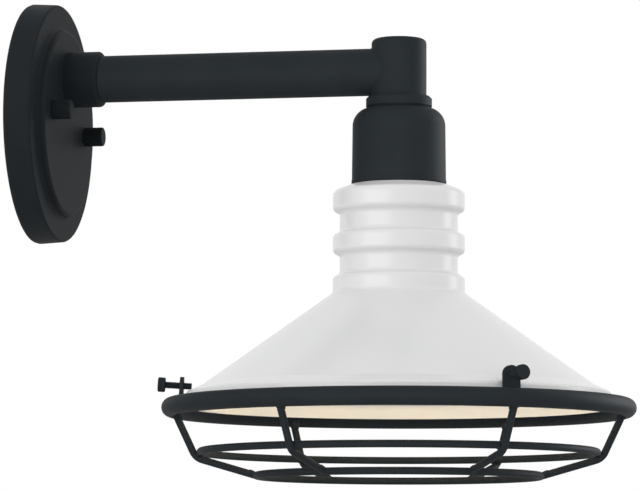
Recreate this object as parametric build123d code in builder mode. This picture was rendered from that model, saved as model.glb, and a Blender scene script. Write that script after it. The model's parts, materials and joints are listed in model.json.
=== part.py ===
from build123d import *
from math import atan2, cos, radians, sin
import os

# Outdoor wall sconce: a stepped round plate on the wall, a straight arm to a closed tee, a socket cup, a spun
# shade with a beaded neck and a wide cone, and a welded wire guard that hangs on the brim by three thumbscrews.
# Millimetres. The wall is the plane X = 0, +X points out of the wall and +Z points up.
# The origin lies on the wall, midway between the two box screws.

os.makedirs("parts", exist_ok=True)

# Clearances
fit_gap = 0.1          # around pins and threads that stay put
run_gap = 0.3          # between pieces that move against each other

# Overall placing
reach = 243.0          # lamp axis out from the wall
arm_rise = 28.8        # arm axis above the centre of the plate

# Straps behind the plate
strap_t = 2.0
strap_w = 20.0
strap_corner = 4.0
box_strap_end = 5.55   # metal past each box slot
box_slot_gap = 88.9    # spacing of the two box screws
box_slot_len = 12.0
box_slot_w = 4.8
pivot_d = 5.0
pivot_head_d = 9.6
pivot_head_h = 2.6
fixture_strap_end = 9.0  # metal past the middle of each stud
ground_gap = 22.0      # ground screw from the pivot
ground_d = 4.0
ground_head_d = 8.6
ground_head_h = 3.0

# Studs and barrel nuts
stud_gap = 80.0
stud_turn = 6.0        # tilt of the stud line off level
stud_d = 4.2
stud_show = 9.0        # stud length in front of the plate
lock_nut_af = 8.7
lock_nut_h = 3.3
insert_wall = 1.6
insert_len = 9.6
barrel_wall = 2.0
barrel_end = 2.4
barrel_flutes = 30
barrel_flute_d = 0.8
barrel_edge = 1.2
stud_hole_gap = 0.6

# Backplate and wall gasket
gasket_t = 1.5
gasket_w = 7.0
gasket_inset = 0.5
plate_r = 78.9
plate_t = 1.6
rim_h = 16.0           # side wall, from the gasket to the outer flat
rim_draft = 0.9
rim_round = 1.8
step_r = 61.8
step_h = 5.0           # raised middle above the outer flat
step_draft = 1.0
step_round = 2.4
cove_r = 2.4

# Arm
arm_d = 30.7
arm_wall = 1.6
nipple_d = 13.2
nipple_bore = 9.6
nipple_show = 2.0
washer_d = 24.0
washer_t = 1.0
washer_teeth = 12
hub_nut_af = 19.0
hub_nut_h = 4.8
collar_wall = 2.8
collar_len = 22.4
collar_web = 8.0
collar_round = 2.5

# Tee at the arm's end
tee_side = 2.45        # tee barrel beyond the arm on each side
tee_over = 5.85        # tee top above the arm
tee_under = 1.05       # tee bottom below the arm
tee_wall = 2.6
tee_floor = 5.0
tee_stub = 7.0         # branch length in front of the barrel
tee_round = 3.4
tee_blend = 1.0

# Ring between tee and cup
ring_d = 42.7
ring_h = 7.4
ring_bevel = 1.6
ring_foot_h = 0.8
ring_foot_in = 1.3

# Socket cup
cup_top_r = 29.9
cup_bottom_r = 30.4
cup_h = 49.3
cup_t = 1.5
cup_shoulder = 12.0
cup_bead_h = 2.2       # rolled edge at the mouth
cup_bead_out = 0.25

# Lampholder
cap_hub_wall = 3.4
cap_hub_h = 8.0
cap_r = 19.4
cap_h = 14.0
cap_wall = 2.2
cap_screw_d = 3.0
cap_screw_head_d = 5.4
cap_screw_head_h = 1.6
cap_screw_len = 6.0
holder_floor = 6.0
holder_wall = 5.2
flange_w = 4.6
flange_h = 4.0
skirt_len = 15.0
shell_wall = 0.5
shell_len = 26.0
shell_hole_d = 15.0
contact_d = 9.0
contact_t = 2.0

# Lamp
lamp_shell_gap = 0.75  # thread depth left between the two shells
lamp_button_d = 9.4
lamp_button_h = 1.0
lamp_glass_d = 19.0
lamp_glass_h = 3.2
lamp_shell_len = 20.0
lamp_shell_wall = 0.9
lamp_neck_len = 8.0
lamp_collar_r = 22.0
lamp_collar_len = 20.0
lamp_collar_wall = 1.6
lamp_globe_r = 30.0
lamp_globe_wall = 1.4

# Shade
seal_t = 0.8
seal_w = 3.2
shade_t = 1.2
shade_flat = 0.8       # top flat carried on past the cup's edge
shoulder_drop = 4.6
shoulder_round = 4.0
bead_r = 42.6
groove_in = 4.5        # groove inside the beads
bead_h = 13.2
groove_h = 14.0
bead_step = 2.4        # height of the slope from a bead to a groove
bead_count = 3
last_bead_h = 11.2
bead_round = 2.9
cone_w = 83.6          # run of the cone, from the last bead to the brim
cone_drop = 59.7
cone_round = 3.0
cone_collar = 5.0      # upright collar at the top of the cone, on which the neck stands
brim_rise = 2.0        # foot of the cone that goes with the brim
brim_w = 10.1
brim_drop = 4.3
brim_round = 5.0
edge_h = 10.0          # upright edge below the brim
edge_round = 2.0
clamp_wall = 6.0
clamp_h = 6.0

# Wire guard
guard_turn = 10.2      # guard clocked round the shade
guard_gap = 4.2        # clear space from the shade's edge to the rim tube
rim_tube_d = 11.9
wire_d = 4.8
rib_d = 4.7
rib_count = 6
rib_bend_r = 10.0
mid_in = 19.3          # mid ring inside the rim ring
mid_drop = 28.3
low_in = 36.0          # low ring inside the mid ring
low_drop = 15.1
rib_top_in = 1.2
weld_sink = 0.4        # depth to which welded wires bed into each other

# Tabs and thumbscrews
tab_count = 3
tab_w = 11.6
tab_t = 2.4
tab_in = 6.9           # tab hole inside the rim tube's centre line
tab_drop = 14.5
screw_tilt = 3.5
screw_d = 4.6
screw_len = 17.0
screw_bite = 3.1       # how far the tip reaches in over the brim
head_d = 9.4
head_t = 4.7
head_flutes = 24
head_flute_d = 0.7
head_edge = 0.5

# Radii that follow from the arm
tee_r = arm_d / 2 + tee_side

# Levels along X, out from the wall
rim_x = gasket_t + rim_h
face_x = rim_x + step_h
inner_x = face_x - plate_t
strap_front = 2 * strap_t
tube_x = face_x + collar_web
stub_x = reach - tee_r - tee_stub

# Levels along Z, down the lamp axis
tee_top = arm_rise + arm_d / 2 + tee_over
tee_bottom = arm_rise - arm_d / 2 - tee_under
cup_top = tee_bottom - ring_h
cup_bottom = cup_top - cup_h
nut_low = cup_top - cup_t - hub_nut_h
cap_top = nut_low - cap_hub_h
cap_low = cap_top - cap_h
shade_top = cup_bottom - seal_t
skirt_low = shade_top - skirt_len
shell_top = cap_low - holder_floor
contact_low = shell_top - contact_t

# Radii round the lamp axis
nipple_hole_r = nipple_d / 2 + fit_gap
lamp_shell_r = cap_r - holder_wall - fit_gap - shell_wall - lamp_shell_gap
holder_bore_r = cap_r - holder_wall
shade_hole_r = cap_r + run_gap

lamp_plane = Plane(origin=(reach, 0, 0), x_dir=(1, 0, 0), z_dir=(0, -1, 0))
lamp_axis = Axis((reach, 0, 0), (0, 0, 1))
turn_c = cos(radians(stud_turn))
turn_s = sin(radians(stud_turn))


def stud_plane(x):
    """Plane square to X at the given depth, its x direction along the tilted line of the two studs."""
    return Plane(origin=(x, 0, 0), x_dir=(0, turn_c, -turn_s), z_dir=(1, 0, 0))


def arm_plane(x):
    """Plane square to the arm at the given depth, centred on the arm's axis."""
    return Plane(origin=(x, 0, arm_rise), x_dir=(0, 1, 0), z_dir=(1, 0, 0))


def level_plane(z):
    """Level plane at the given height, centred on the lamp axis."""
    return Plane(origin=(reach, 0, z), x_dir=(1, 0, 0), z_dir=(0, 0, 1))


# Straps that bolt to the wall box and carry the studs

with BuildPart() as box_strap:
    with BuildSketch(Plane.YZ):
        RectangleRounded(strap_w, box_slot_gap + box_slot_len + 2 * box_strap_end, strap_corner)
        with Locations((0, -box_slot_gap / 2), (0, box_slot_gap / 2)):
            SlotOverall(box_slot_len, box_slot_w, rotation=90, mode=Mode.SUBTRACT)
        Circle(pivot_d / 2 + fit_gap, mode=Mode.SUBTRACT)
    extrude(amount=strap_t)
box_strap.part.label = "box_strap"
export_step(box_strap.part, "parts/box_strap.step")

with BuildPart() as fixture_strap:
    with BuildSketch(stud_plane(strap_t)):
        RectangleRounded(stud_gap + 2 * fixture_strap_end, strap_w, strap_corner)
        with Locations((-stud_gap / 2, 0), (stud_gap / 2, 0)):
            Circle(stud_d / 2 + fit_gap, mode=Mode.SUBTRACT)
        Circle(pivot_d / 2 + fit_gap, mode=Mode.SUBTRACT)
        with Locations((-ground_gap, 0)):
            Circle(ground_d / 2 + fit_gap, mode=Mode.SUBTRACT)
    extrude(amount=strap_t)
fixture_strap.part.label = "fixture_strap"
export_step(fixture_strap.part, "parts/fixture_strap.step")

with BuildPart() as pivot_screw:
    with BuildSketch(stud_plane(0)):
        Circle(pivot_d / 2)
    extrude(amount=strap_front)
    with BuildSketch(stud_plane(strap_front)):
        Circle(pivot_head_d / 2)
    extrude(amount=pivot_head_h)
    with BuildSketch(stud_plane(strap_front + pivot_head_h)):
        Rectangle(pivot_head_d, pivot_head_h / 2)
    extrude(amount=-pivot_head_h / 2, mode=Mode.SUBTRACT)
pivot_screw.part.label = "pivot_screw"
export_step(pivot_screw.part, "parts/pivot_screw.step")

with BuildPart() as ground_screw:
    with BuildSketch(stud_plane(strap_t)):
        with Locations((-ground_gap, 0)):
            Circle(ground_d / 2)
    extrude(amount=strap_t)
    with BuildSketch(stud_plane(strap_front)):
        with Locations((-ground_gap, 0)):
            RegularPolygon(ground_head_d / 2, 6)
    extrude(amount=ground_head_h)
ground_screw.part.label = "ground_screw"
export_step(ground_screw.part, "parts/ground_screw.step")

with BuildPart() as mounting_studs:
    with BuildSketch(stud_plane(strap_t)):
        with Locations((-stud_gap / 2, 0), (stud_gap / 2, 0)):
            Circle(stud_d / 2)
    extrude(amount=face_x + stud_show - strap_t)
mounting_studs.part.label = "mounting_studs"
export_step(mounting_studs.part, "parts/mounting_studs.step")

with BuildPart() as stud_lock_nuts:
    with BuildSketch(stud_plane(strap_front)):
        with Locations((-stud_gap / 2, 0), (stud_gap / 2, 0)):
            RegularPolygon(lock_nut_af / 2, 6, major_radius=False)
            Circle(stud_d / 2 + fit_gap, mode=Mode.SUBTRACT)
    extrude(amount=lock_nut_h)
stud_lock_nuts.part.label = "stud_lock_nuts"
export_step(stud_lock_nuts.part, "parts/stud_lock_nuts.step")

# Backplate, a drawn shell with a stepped front, and the gasket under its edge

with BuildPart() as wall_gasket:
    with BuildSketch(Plane.YZ):
        Circle(plate_r - gasket_inset)
        Circle(plate_r - gasket_inset - gasket_w, mode=Mode.SUBTRACT)
    extrude(amount=gasket_t)
wall_gasket.part.label = "wall_gasket"
export_step(wall_gasket.part, "parts/wall_gasket.step")

with BuildPart() as backplate:
    with BuildSketch(Plane.XZ):
        with BuildLine():
            front = FilletPolyline(
                (gasket_t, plate_r),
                (rim_x, plate_r - rim_draft),
                (rim_x, step_r),
                (face_x, step_r - step_draft),
                (face_x, 0),
                radius=[rim_round, cove_r, step_round],
            )
            Polyline(front @ 1, (gasket_t, 0), front @ 0)
        make_face()
    revolve(axis=Axis.X)
    with BuildSketch(Plane.XZ):
        with BuildLine():
            back = FilletPolyline(
                (gasket_t, plate_r - plate_t),
                (rim_x - plate_t, plate_r - rim_draft - plate_t),
                (rim_x - plate_t, step_r - plate_t),
                (inner_x, step_r - step_draft - plate_t),
                (inner_x, 0),
                radius=[rim_round - plate_t, cove_r + plate_t, step_round - plate_t],
            )
            Polyline(back @ 1, (gasket_t, 0), back @ 0)
        make_face()
    revolve(axis=Axis.X, mode=Mode.SUBTRACT)
    with BuildSketch(stud_plane(inner_x)):
        with Locations((-stud_gap / 2, 0), (stud_gap / 2, 0)):
            Circle(stud_d / 2 + stud_hole_gap)
    extrude(amount=plate_t, mode=Mode.SUBTRACT)
    with BuildSketch(arm_plane(inner_x)):
        Circle(nipple_hole_r)
    extrude(amount=plate_t, mode=Mode.SUBTRACT)
backplate.part.label = "backplate"
export_step(backplate.part, "parts/backplate.step")

# Barrel nuts: a threaded insert runs along each stud inside a fluted cap

for side, name in ((-1, "left"), (1, "right")):
    with BuildPart() as nut_insert:
        with BuildSketch(stud_plane(face_x + run_gap)):
            with Locations((side * stud_gap / 2, 0)):
                Circle(stud_d / 2 + run_gap + insert_wall)
                Circle(stud_d / 2 + run_gap, mode=Mode.SUBTRACT)
        extrude(amount=insert_len)
    nut_insert.part.label = "nut_insert_" + name
    export_step(nut_insert.part, "parts/nut_insert_" + name + ".step")

    barrel_bore_r = stud_d / 2 + insert_wall + 2 * run_gap
    barrel_r = barrel_bore_r + barrel_wall
    barrel_len = insert_len + run_gap + barrel_end
    with BuildPart() as barrel_nut:
        with BuildSketch(stud_plane(face_x + run_gap)):
            with Locations((side * stud_gap / 2, 0)):
                Circle(barrel_r)
        extrude(amount=barrel_len)
        fillet(barrel_nut.edges().sort_by(Axis.X)[-1], barrel_edge)
        with BuildSketch(stud_plane(face_x + run_gap)):
            with Locations((side * stud_gap / 2, 0)):
                with PolarLocations(barrel_r, barrel_flutes):
                    Circle(barrel_flute_d / 2)
        extrude(amount=barrel_len, mode=Mode.SUBTRACT)
        with BuildSketch(stud_plane(face_x + run_gap)):
            with Locations((side * stud_gap / 2, 0)):
                Circle(barrel_bore_r)
        extrude(amount=insert_len + run_gap, mode=Mode.SUBTRACT)
    barrel_nut.part.label = "barrel_nut_" + name
    export_step(barrel_nut.part, "parts/barrel_nut_" + name + ".step")

# Arm: nipple, washer and nut inside the plate, collar in front of it, then the tube

with BuildPart() as arm_nipple:
    with BuildSketch(arm_plane(inner_x - washer_t - hub_nut_h - nipple_show)):
        Circle(nipple_d / 2)
        Circle(nipple_bore / 2, mode=Mode.SUBTRACT)
    extrude(amount=tube_x - inner_x + washer_t + hub_nut_h + nipple_show)
arm_nipple.part.label = "arm_nipple"
export_step(arm_nipple.part, "parts/arm_nipple.step")

with BuildPart() as arm_washer:
    with BuildSketch(arm_plane(inner_x - washer_t)):
        Circle(washer_d / 2)
        with PolarLocations(washer_d / 2, washer_teeth):
            RectangleRounded(washer_t * 3, washer_t * 2, washer_t / 2, mode=Mode.SUBTRACT)
        Circle(nipple_hole_r, mode=Mode.SUBTRACT)
    extrude(amount=washer_t)
arm_washer.part.label = "arm_washer"
export_step(arm_washer.part, "parts/arm_washer.step")

with BuildPart() as arm_lock_nut:
    with BuildSketch(arm_plane(inner_x - washer_t - hub_nut_h)):
        RegularPolygon(hub_nut_af / 2, 6, major_radius=False)
        Circle(nipple_hole_r, mode=Mode.SUBTRACT)
    extrude(amount=hub_nut_h)
arm_lock_nut.part.label = "arm_lock_nut"
export_step(arm_lock_nut.part, "parts/arm_lock_nut.step")

with BuildPart() as arm_collar:
    with BuildSketch(arm_plane(face_x)):
        Circle(arm_d / 2 + fit_gap + collar_wall)
    extrude(amount=collar_len)
    fillet(arm_collar.edges().sort_by(Axis.X)[-1], collar_round)
    with BuildSketch(arm_plane(face_x)):
        Circle(nipple_hole_r)
    extrude(amount=collar_web, mode=Mode.SUBTRACT)
    with BuildSketch(arm_plane(tube_x)):
        Circle(arm_d / 2 + fit_gap)
    extrude(amount=collar_len, mode=Mode.SUBTRACT)
arm_collar.part.label = "arm_collar"
export_step(arm_collar.part, "parts/arm_collar.step")

with BuildPart() as arm_tube:
    with BuildSketch(arm_plane(tube_x)):
        Circle(arm_d / 2)
        Circle(arm_d / 2 - arm_wall, mode=Mode.SUBTRACT)
    extrude(amount=stub_x - tube_x)
arm_tube.part.label = "arm_tube"
export_step(arm_tube.part, "parts/arm_tube.step")

# Tee: a closed barrel with a short branch that carries on the arm

with BuildPart() as tee_housing:
    with BuildSketch(level_plane(tee_bottom)):
        Circle(tee_r)
    extrude(amount=tee_top - tee_bottom)
    fillet(tee_housing.edges().sort_by(Axis.Z)[-1], tee_round)
    with BuildSketch(arm_plane(stub_x)):
        Circle(arm_d / 2)
    extrude(amount=reach - stub_x)
    seams = tee_housing.edges().filter_by(lambda e: e.geom_type not in (GeomType.CIRCLE, GeomType.LINE))
    fillet(seams, min(tee_blend, 0.9 * tee_under))
    with BuildSketch(level_plane(tee_bottom + tee_floor)):
        Circle(tee_r - tee_wall)
    extrude(amount=tee_top - tee_bottom - tee_floor - tee_wall, mode=Mode.SUBTRACT)
    with BuildSketch(arm_plane(stub_x)):
        Circle(arm_d / 2 - arm_wall)
    extrude(amount=reach - stub_x, mode=Mode.SUBTRACT)
    with BuildSketch(level_plane(tee_bottom)):
        Circle(nipple_hole_r)
    extrude(amount=tee_floor, mode=Mode.SUBTRACT)
tee_housing.part.label = "tee_housing"
export_step(tee_housing.part, "parts/tee_housing.step")

# Ring and cup below the tee, held by a second nipple and nut

with BuildPart() as cup_nipple:
    with BuildSketch(level_plane(cap_top - cap_wall)):
        Circle(nipple_d / 2)
        Circle(nipple_bore / 2, mode=Mode.SUBTRACT)
    extrude(amount=tee_bottom + tee_floor + nipple_show - cap_top + cap_wall)
cup_nipple.part.label = "cup_nipple"
export_step(cup_nipple.part, "parts/cup_nipple.step")

with BuildPart() as cup_ring:
    with BuildSketch(lamp_plane):
        with BuildLine():
            Polyline(
                (nipple_hole_r, cup_top),
                (ring_d / 2 - ring_foot_in, cup_top),
                (ring_d / 2 - ring_foot_in, cup_top + ring_foot_h),
                (ring_d / 2, cup_top + ring_foot_h),
                (ring_d / 2, tee_bottom - ring_bevel),
                (ring_d / 2 - ring_bevel, tee_bottom),
                (nipple_hole_r, tee_bottom),
                close=True,
            )
        make_face()
    revolve(axis=lamp_axis)
cup_ring.part.label = "cup_ring"
export_step(cup_ring.part, "parts/cup_ring.step")

with BuildPart() as socket_cup:
    with BuildSketch(lamp_plane):
        with BuildLine():
            outer = FilletPolyline(
                (nipple_hole_r, cup_top),
                (cup_top_r, cup_top),
                (cup_bottom_r, cup_bottom + cup_bead_h),
                radius=cup_shoulder,
            )
            inner = FilletPolyline(
                (nipple_hole_r, cup_top - cup_t),
                (cup_top_r - cup_t, cup_top - cup_t),
                (cup_bottom_r - cup_t, cup_bottom),
                radius=cup_shoulder - cup_t,
            )
            Polyline(
                outer @ 1,
                (cup_bottom_r + cup_bead_out, cup_bottom + cup_bead_h - cup_bead_out),
                (cup_bottom_r + cup_bead_out, cup_bottom),
                inner @ 1,
            )
            Line(inner @ 0, outer @ 0)
        make_face()
    revolve(axis=lamp_axis)
socket_cup.part.label = "socket_cup"
export_step(socket_cup.part, "parts/socket_cup.step")

with BuildPart() as cup_lock_nut:
    with BuildSketch(level_plane(nut_low)):
        RegularPolygon(hub_nut_af / 2, 6, major_radius=False)
        Circle(nipple_hole_r, mode=Mode.SUBTRACT)
    extrude(amount=hub_nut_h)
cup_lock_nut.part.label = "cup_lock_nut"
export_step(cup_lock_nut.part, "parts/cup_lock_nut.step")

# Lampholder: a hub cap on the nipple, a porcelain body, the screw shell and its contact

cap_screw_r = (nipple_hole_r + cap_hub_wall + cap_r) / 2

with BuildPart() as holder_cap:
    with BuildSketch(lamp_plane):
        with BuildLine():
            Polyline(
                (nipple_hole_r, nut_low),
                (nipple_hole_r + cap_hub_wall, nut_low),
                (nipple_hole_r + cap_hub_wall, cap_top),
                (cap_r, cap_top),
                (cap_r, cap_low),
                (cap_r - cap_wall, cap_low),
                (cap_r - cap_wall, cap_top - cap_wall),
                (nipple_hole_r, cap_top - cap_wall),
                close=True,
            )
        make_face()
    revolve(axis=lamp_axis)
    with BuildSketch(level_plane(cap_top - cap_wall)):
        with PolarLocations(cap_screw_r, 2):
            Circle(cap_screw_d / 2 + fit_gap)
    extrude(amount=cap_wall, mode=Mode.SUBTRACT)
holder_cap.part.label = "holder_cap"
export_step(holder_cap.part, "parts/holder_cap.step")

with BuildPart() as cap_screws:
    with BuildSketch(level_plane(cap_top)):
        with PolarLocations(cap_screw_r, 2):
            Circle(cap_screw_head_d / 2)
    extrude(amount=cap_screw_head_h)
    with BuildSketch(level_plane(cap_top)):
        with PolarLocations(cap_screw_r, 2):
            Circle(cap_screw_d / 2)
    extrude(amount=-(cap_h + cap_screw_len / 2))
cap_screws.part.label = "cap_screws"
export_step(cap_screws.part, "parts/cap_screws.step")

with BuildPart() as holder_body:
    with BuildSketch(lamp_plane):
        with BuildLine():
            Polyline(
                (0, cap_low),
                (cap_r, cap_low),
                (cap_r, shade_top + flange_h),
                (cap_r + flange_w, shade_top + flange_h),
                (cap_r + flange_w, shade_top),
                (cap_r, shade_top),
                (cap_r, skirt_low),
                (holder_bore_r, skirt_low),
                (holder_bore_r, shell_top),
                (0, shell_top),
                close=True,
            )
        make_face()
    revolve(axis=lamp_axis)
    with BuildSketch(level_plane(cap_low)):
        with PolarLocations(cap_screw_r, 2):
            Circle(cap_screw_d / 2 + fit_gap)
    extrude(amount=-(cap_screw_len / 2 + fit_gap), mode=Mode.SUBTRACT)
holder_body.part.label = "holder_body"
export_step(holder_body.part, "parts/holder_body.step")

with BuildPart() as screw_shell:
    with BuildSketch(lamp_plane):
        with BuildLine():
            Polyline(
                (shell_hole_d / 2, shell_top),
                (holder_bore_r - fit_gap, shell_top),
                (holder_bore_r - fit_gap, shell_top - shell_len),
                (holder_bore_r - fit_gap - shell_wall, shell_top - shell_len),
                (holder_bore_r - fit_gap - shell_wall, shell_top - shell_wall),
                (shell_hole_d / 2, shell_top - shell_wall),
                close=True,
            )
        make_face()
    revolve(axis=lamp_axis)
screw_shell.part.label = "screw_shell"
export_step(screw_shell.part, "parts/screw_shell.step")

with BuildPart() as holder_contact:
    with BuildSketch(level_plane(shell_top)):
        Circle(contact_d / 2)
    extrude(amount=-contact_t)
    fillet(holder_contact.edges().sort_by(Axis.Z)[0], contact_t / 3)
holder_contact.part.label = "holder_contact"
export_step(holder_contact.part, "parts/holder_contact.step")

# Lamp: button, glass insulator, screw shell, collar and globe

button_top = contact_low - run_gap
glass_top = button_top - lamp_button_h
lamp_shell_top = glass_top - lamp_glass_h
lamp_shell_low = lamp_shell_top - lamp_shell_len
neck_low = lamp_shell_low - lamp_neck_len
collar_low = neck_low - lamp_collar_len
globe_mid = collar_low - (lamp_globe_r**2 - lamp_collar_r**2) ** 0.5

with BuildPart() as lamp_button:
    with BuildSketch(level_plane(glass_top)):
        Circle(lamp_button_d / 2)
    extrude(amount=lamp_button_h)
    fillet(lamp_button.edges().sort_by(Axis.Z)[-1], lamp_button_h / 2)
lamp_button.part.label = "lamp_button"
export_step(lamp_button.part, "parts/lamp_button.step")

with BuildPart() as lamp_glass:
    with BuildSketch(lamp_plane):
        with BuildLine():
            Polyline(
                (0, glass_top),
                (lamp_button_d / 2, glass_top),
                (lamp_glass_d / 2, lamp_shell_top),
                (0, lamp_shell_top),
                close=True,
            )
        make_face()
    revolve(axis=lamp_axis)
lamp_glass.part.label = "lamp_glass"
export_step(lamp_glass.part, "parts/lamp_glass.step")

with BuildPart() as lamp_shell:
    with BuildSketch(lamp_plane):
        with BuildLine():
            Polyline(
                (0, lamp_shell_top),
                (lamp_glass_d / 2, lamp_shell_top),
                (lamp_shell_r, lamp_shell_top - (lamp_shell_r - lamp_glass_d / 2)),
                (lamp_shell_r, lamp_shell_low),
                (lamp_shell_r - lamp_shell_wall, lamp_shell_low),
                (lamp_shell_r - lamp_shell_wall, lamp_shell_top - (lamp_shell_r - lamp_glass_d / 2)),
                (0, lamp_shell_top - lamp_shell_wall),
                close=True,
            )
        make_face()
    revolve(axis=lamp_axis)
lamp_shell.part.label = "lamp_shell"
export_step(lamp_shell.part, "parts/lamp_shell.step")

with BuildPart() as lamp_collar:
    with BuildSketch(lamp_plane):
        with BuildLine():
            Polyline(
                (lamp_shell_r - lamp_collar_wall, lamp_shell_low),
                (lamp_shell_r, lamp_shell_low),
                (lamp_shell_r, neck_low),
                (lamp_collar_r, collar_low),
                (lamp_collar_r - lamp_collar_wall, collar_low),
                (lamp_shell_r - lamp_collar_wall, neck_low),
                close=True,
            )
        make_face()
    revolve(axis=lamp_axis)
lamp_collar.part.label = "lamp_collar"
export_step(lamp_collar.part, "parts/lamp_collar.step")

globe_in_r = lamp_globe_r - lamp_globe_wall
globe_rim_r = (globe_in_r**2 - (collar_low - globe_mid) ** 2) ** 0.5

with BuildPart() as lamp_globe:
    with BuildSketch(lamp_plane):
        with BuildLine():
            skin = ThreePointArc((lamp_collar_r, collar_low), (lamp_globe_r, globe_mid), (0, globe_mid - lamp_globe_r))
            hollow = ThreePointArc((globe_rim_r, collar_low), (globe_in_r, globe_mid), (0, globe_mid - globe_in_r))
            Line(skin @ 0, hollow @ 0)
            Line(skin @ 1, hollow @ 1)
        make_face()
    revolve(axis=lamp_axis)
lamp_globe.part.label = "lamp_globe"
export_step(lamp_globe.part, "parts/lamp_globe.step")

# Shade: one spun skin in three pieces, a beaded neck, a wide cone with a collar, and a brim with an upright edge

with BuildPart() as shade_seal:
    with BuildSketch(level_plane(shade_top)):
        Circle(cup_bottom_r)
        Circle(cup_bottom_r - seal_w, mode=Mode.SUBTRACT)
    extrude(amount=seal_t)
shade_seal.part.label = "shade_seal"
export_step(shade_seal.part, "parts/shade_seal.step")

shade_points = [(shade_hole_r, shade_top), (cup_bottom_r + shade_flat, shade_top)]
shade_rounds = [shoulder_round]
groove_r = bead_r - groove_in
round_r = min(bead_round, 0.7 * groove_in)
level = shade_top - shoulder_drop
shade_points.append((bead_r, level))
shade_rounds.append(shoulder_round)
for _ in range(bead_count - 1):
    level -= bead_h
    shade_points += [(bead_r, level + bead_step / 2), (groove_r, level - bead_step / 2)]
    level -= groove_h
    shade_points += [(groove_r, level + bead_step / 2), (bead_r, level - bead_step / 2)]
    shade_rounds += 4 * [round_r]
level -= last_bead_h
neck_low_z = level + cone_collar
cone_r = bead_r + cone_w
brim_r = cone_r + brim_w
cone_low = level - cone_drop
brim_top_z = cone_low + brim_rise
brim_low = cone_low - brim_drop
shade_low = brim_low - edge_h
shade_points += [(bead_r, level), (cone_r, cone_low), (brim_r, brim_low), (brim_r, shade_low)]
shade_rounds += [cone_round, brim_round, edge_round]

with BuildPart() as shade_form:
    with BuildSketch(lamp_plane):
        with BuildLine():
            FilletPolyline(*shade_points, radius=shade_rounds)
            offset(amount=shade_t, side=Side.RIGHT)
        make_face()
    revolve(axis=lamp_axis)

with BuildPart() as shade_neck:
    add(shade_form.part)
    split(bisect_by=level_plane(neck_low_z), keep=Keep.TOP)
shade_neck.part.label = "shade_neck"
export_step(shade_neck.part, "parts/shade_neck.step")

with BuildPart() as shade_cone:
    add(shade_form.part)
    split(bisect_by=level_plane(neck_low_z), keep=Keep.BOTTOM)
    split(bisect_by=level_plane(brim_top_z), keep=Keep.TOP)
shade_cone.part.label = "shade_cone"
export_step(shade_cone.part, "parts/shade_cone.step")

with BuildPart() as shade_brim:
    add(shade_form.part)
    split(bisect_by=level_plane(brim_top_z), keep=Keep.BOTTOM)
shade_brim.part.label = "shade_brim"
export_step(shade_brim.part, "parts/shade_brim.step")

with BuildPart() as shade_clamp:
    with BuildSketch(level_plane(shade_top - shade_t)):
        Circle(cap_r + fit_gap + clamp_wall)
        Circle(cap_r + fit_gap, mode=Mode.SUBTRACT)
    extrude(amount=-clamp_h)
shade_clamp.part.label = "shade_clamp"
export_step(shade_clamp.part, "parts/shade_clamp.step")

# Wire guard: three rings and six bent ribs, all welded

rim_r = brim_r + guard_gap + rim_tube_d / 2
rim_z = shade_low
mid_r = rim_r - mid_in
mid_z = rim_z - mid_drop
low_r = mid_r - low_in
low_z = mid_z - low_drop

with BuildPart() as guard_rim_ring:
    with Locations((reach, 0, rim_z)):
        Torus(rim_r, rim_tube_d / 2)
guard_rim_ring.part.label = "guard_rim_ring"
export_step(guard_rim_ring.part, "parts/guard_rim_ring.step")

with BuildPart() as guard_mid_ring:
    with Locations((reach, 0, mid_z)):
        Torus(mid_r, wire_d / 2)
guard_mid_ring.part.label = "guard_mid_ring"
export_step(guard_mid_ring.part, "parts/guard_mid_ring.step")

with BuildPart() as guard_low_ring:
    with Locations((reach, 0, low_z)):
        Torus(low_r, wire_d / 2)
guard_low_ring.part.label = "guard_low_ring"
export_step(guard_low_ring.part, "parts/guard_low_ring.step")

# A rib runs down past the mid ring, bends round it and runs in to the low ring; its bend beds on the mid ring
top_r = rim_r - rib_top_in
upper = atan2(mid_z - rim_z, mid_r - top_r)
lower = atan2(low_z - mid_z, low_r - mid_r)
half_turn = (upper - lower) / 2
middle = (upper + lower) / 2
bend_off = rib_bend_r - (rib_bend_r - wire_d / 2 - rib_d / 2 + weld_sink) * cos(half_turn)
corner_off = bend_off / cos(half_turn)
bend = (mid_r - corner_off * sin(middle), mid_z + corner_off * cos(middle))

with BuildPart() as rib_form:
    with BuildLine(lamp_plane) as rib_path:
        FilletPolyline((top_r, rim_z), bend, (low_r, low_z), radius=rib_bend_r)
    with BuildSketch(Plane(origin=rib_path.line @ 0, z_dir=rib_path.line % 0)):
        Circle(rib_d / 2)
    sweep()
    add(guard_rim_ring.part, mode=Mode.SUBTRACT)
    add(guard_mid_ring.part, mode=Mode.SUBTRACT)
    add(guard_low_ring.part, mode=Mode.SUBTRACT)

for number in range(rib_count):
    with BuildPart() as guard_rib:
        add(rib_form.part.rotate(lamp_axis, 180 + guard_turn + number * 360 / rib_count))
    guard_rib.part.label = "guard_rib_" + str(number + 1)
    export_step(guard_rib.part, "parts/guard_rib_" + str(number + 1) + ".step")

# Tabs on the rim ring and the thumbscrews whose tips reach over the brim

tilt = radians(screw_tilt)
brim_slope = brim_drop / brim_w
tip_r = brim_r - screw_bite
rest_r = tip_r + screw_d / 2 * sin(tilt)
tip_z = brim_low + (brim_r - rest_r) * brim_slope + run_gap * (1 + brim_slope**2) ** 0.5 + screw_d / 2 * cos(tilt)
tab_s = (rim_r - tab_in - tip_r) / cos(tilt)
tip_plane = Plane(origin=(reach + tip_r, 0, tip_z), x_dir=(0, 1, 0), z_dir=(cos(tilt), 0, sin(tilt)))

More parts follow.
